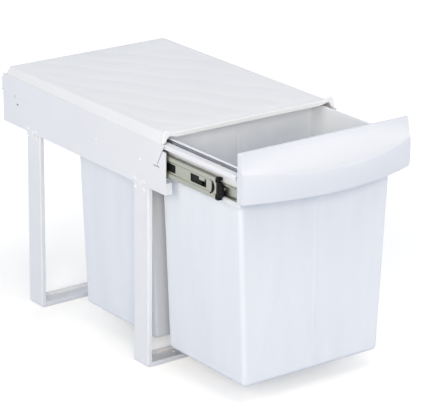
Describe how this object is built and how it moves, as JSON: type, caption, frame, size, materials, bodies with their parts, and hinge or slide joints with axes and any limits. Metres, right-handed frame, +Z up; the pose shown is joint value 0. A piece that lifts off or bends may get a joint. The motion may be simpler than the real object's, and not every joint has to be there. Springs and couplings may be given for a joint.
{
  "type": "pull-out trash cabinet",
  "caption": "Pull-out waste cabinet: a white steel frame on U-shaped feet with a wavy pressed cover, and a drawer on ball-bearing slides that carries tapered bins behind a bowed front.",
  "frame": {"origin": "middle of the underside of the front foot, on the cabinet floor", "axes": "+Z up, +X across the cabinet to the right as seen from the front, +Y towards the back; the drawer opens along -Y"},
  "size_m": [0.3448, 0.6931, 0.4198],
  "materials": {
    "powder_coat": "white powder coat, satin, with a faint orange peel",
    "bin_plastic": "moulded polypropylene, bluish white, satin",
    "front_plastic": "moulded plastic, white, semi-gloss",
    "slide_steel": "yellowish zinc plating, rolled along its length",
    "bright_zinc": "clear zinc plating",
    "black_plastic": "moulded nylon, black, matt"
  },
  "bodies": {
    "frame": {"top_cover": "powder_coat", "left_side_panel": "powder_coat", "right_side_panel": "powder_coat", "front_foot": "powder_coat", "rear_foot": "powder_coat", "rear_tie_bar": "powder_coat", "left_front_foot_rivet": "powder_coat", "left_rear_foot_rivet": "powder_coat", "left_tie_bar_rivet": "powder_coat", "left_outer_slide": "slide_steel", "left_slide_rivet_1": "powder_coat", "left_slide_rivet_2": "powder_coat", "left_slide_rivet_3": "powder_coat", "right_front_foot_rivet": "powder_coat", "right_rear_foot_rivet": "powder_coat", "right_tie_bar_rivet": "powder_coat", "right_outer_slide": "slide_steel", "right_slide_rivet_1": "powder_coat", "right_slide_rivet_2": "powder_coat", "right_slide_rivet_3": "powder_coat"},
    "drawer": {"front_cross_rail": "powder_coat", "middle_cross_rail": "powder_coat", "rear_cross_rail": "powder_coat", "bin_carrier": "bright_zinc", "front_bin": "bin_plastic", "rear_bin": "bin_plastic", "drawer_front": "front_plastic", "left_inner_slide": "slide_steel", "left_drawer_rail": "powder_coat", "left_drawer_screw_1": "bright_zinc", "left_drawer_screw_2": "bright_zinc", "left_front_screw_1": "bright_zinc", "left_front_screw_2": "bright_zinc", "right_inner_slide": "slide_steel", "right_drawer_rail": "powder_coat", "right_drawer_screw_1": "bright_zinc", "right_drawer_screw_2": "bright_zinc", "right_front_screw_1": "bright_zinc", "right_front_screw_2": "bright_zinc"},
    "left_middle": {"left_middle_slide": "slide_steel", "left_slide_bumper": "black_plastic"},
    "left_outer_cage": {"left_outer_ball_cage": "black_plastic"},
    "left_inner_cage": {"left_inner_ball_cage": "black_plastic"},
    "left_lever": {"left_release_lever": "black_plastic"},
    "right_middle": {"right_middle_slide": "slide_steel", "right_slide_bumper": "black_plastic"},
    "right_outer_cage": {"right_outer_ball_cage": "black_plastic"},
    "right_inner_cage": {"right_inner_ball_cage": "black_plastic"},
    "right_lever": {"right_release_lever": "black_plastic"}
  },
  "joints": [
    {"name": "drawer_slide", "type": "slide", "parent": "frame", "child": "drawer", "axis": [0, -1, 0], "range_m": [-0.178, 0.272]},
    {"name": "left_middle_slide", "type": "slide", "parent": "frame", "child": "left_middle", "axis": [0, -1, 0], "range_m": [-0.1461, 0.2231]},
    {"name": "left_outer_cage_slide", "type": "slide", "parent": "frame", "child": "left_outer_cage", "axis": [0, -1, 0], "range_m": [-0.0731, 0.1116]},
    {"name": "left_inner_cage_slide", "type": "slide", "parent": "frame", "child": "left_inner_cage", "axis": [0, -1, 0], "range_m": [-0.1621, 0.2476]},
    {"name": "right_middle_slide", "type": "slide", "parent": "frame", "child": "right_middle", "axis": [0, -1, 0], "range_m": [-0.1461, 0.2231]},
    {"name": "right_outer_cage_slide", "type": "slide", "parent": "frame", "child": "right_outer_cage", "axis": [0, -1, 0], "range_m": [-0.0731, 0.1116]},
    {"name": "right_inner_cage_slide", "type": "slide", "parent": "frame", "child": "right_inner_cage", "axis": [0, -1, 0], "range_m": [-0.1621, 0.2476]},
    {"name": "left_lever_pivot", "type": "hinge", "parent": "drawer", "child": "left_lever", "pos_m": [-0.16065, 0.107, 0.3518], "axis": [1, 0, 0], "range_deg": [0, 5], "stiffness_Nm_per_rad": 0.05},
    {"name": "right_lever_pivot", "type": "hinge", "parent": "drawer", "child": "right_lever", "pos_m": [0.16065, 0.107, 0.3518], "axis": [1, 0, 0], "range_deg": [0, 5], "stiffness_Nm_per_rad": 0.05}
  ],
  "couplings": [
    {"joint": "left_middle_slide", "follows": "drawer_slide", "ratio": 0.82},
    {"joint": "left_outer_cage_slide", "follows": "drawer_slide", "ratio": 0.41},
    {"joint": "left_inner_cage_slide", "follows": "drawer_slide", "ratio": 0.91},
    {"joint": "right_middle_slide", "follows": "drawer_slide", "ratio": 0.82},
    {"joint": "right_outer_cage_slide", "follows": "drawer_slide", "ratio": 0.41},
    {"joint": "right_inner_cage_slide", "follows": "drawer_slide", "ratio": 0.91}
  ]
}
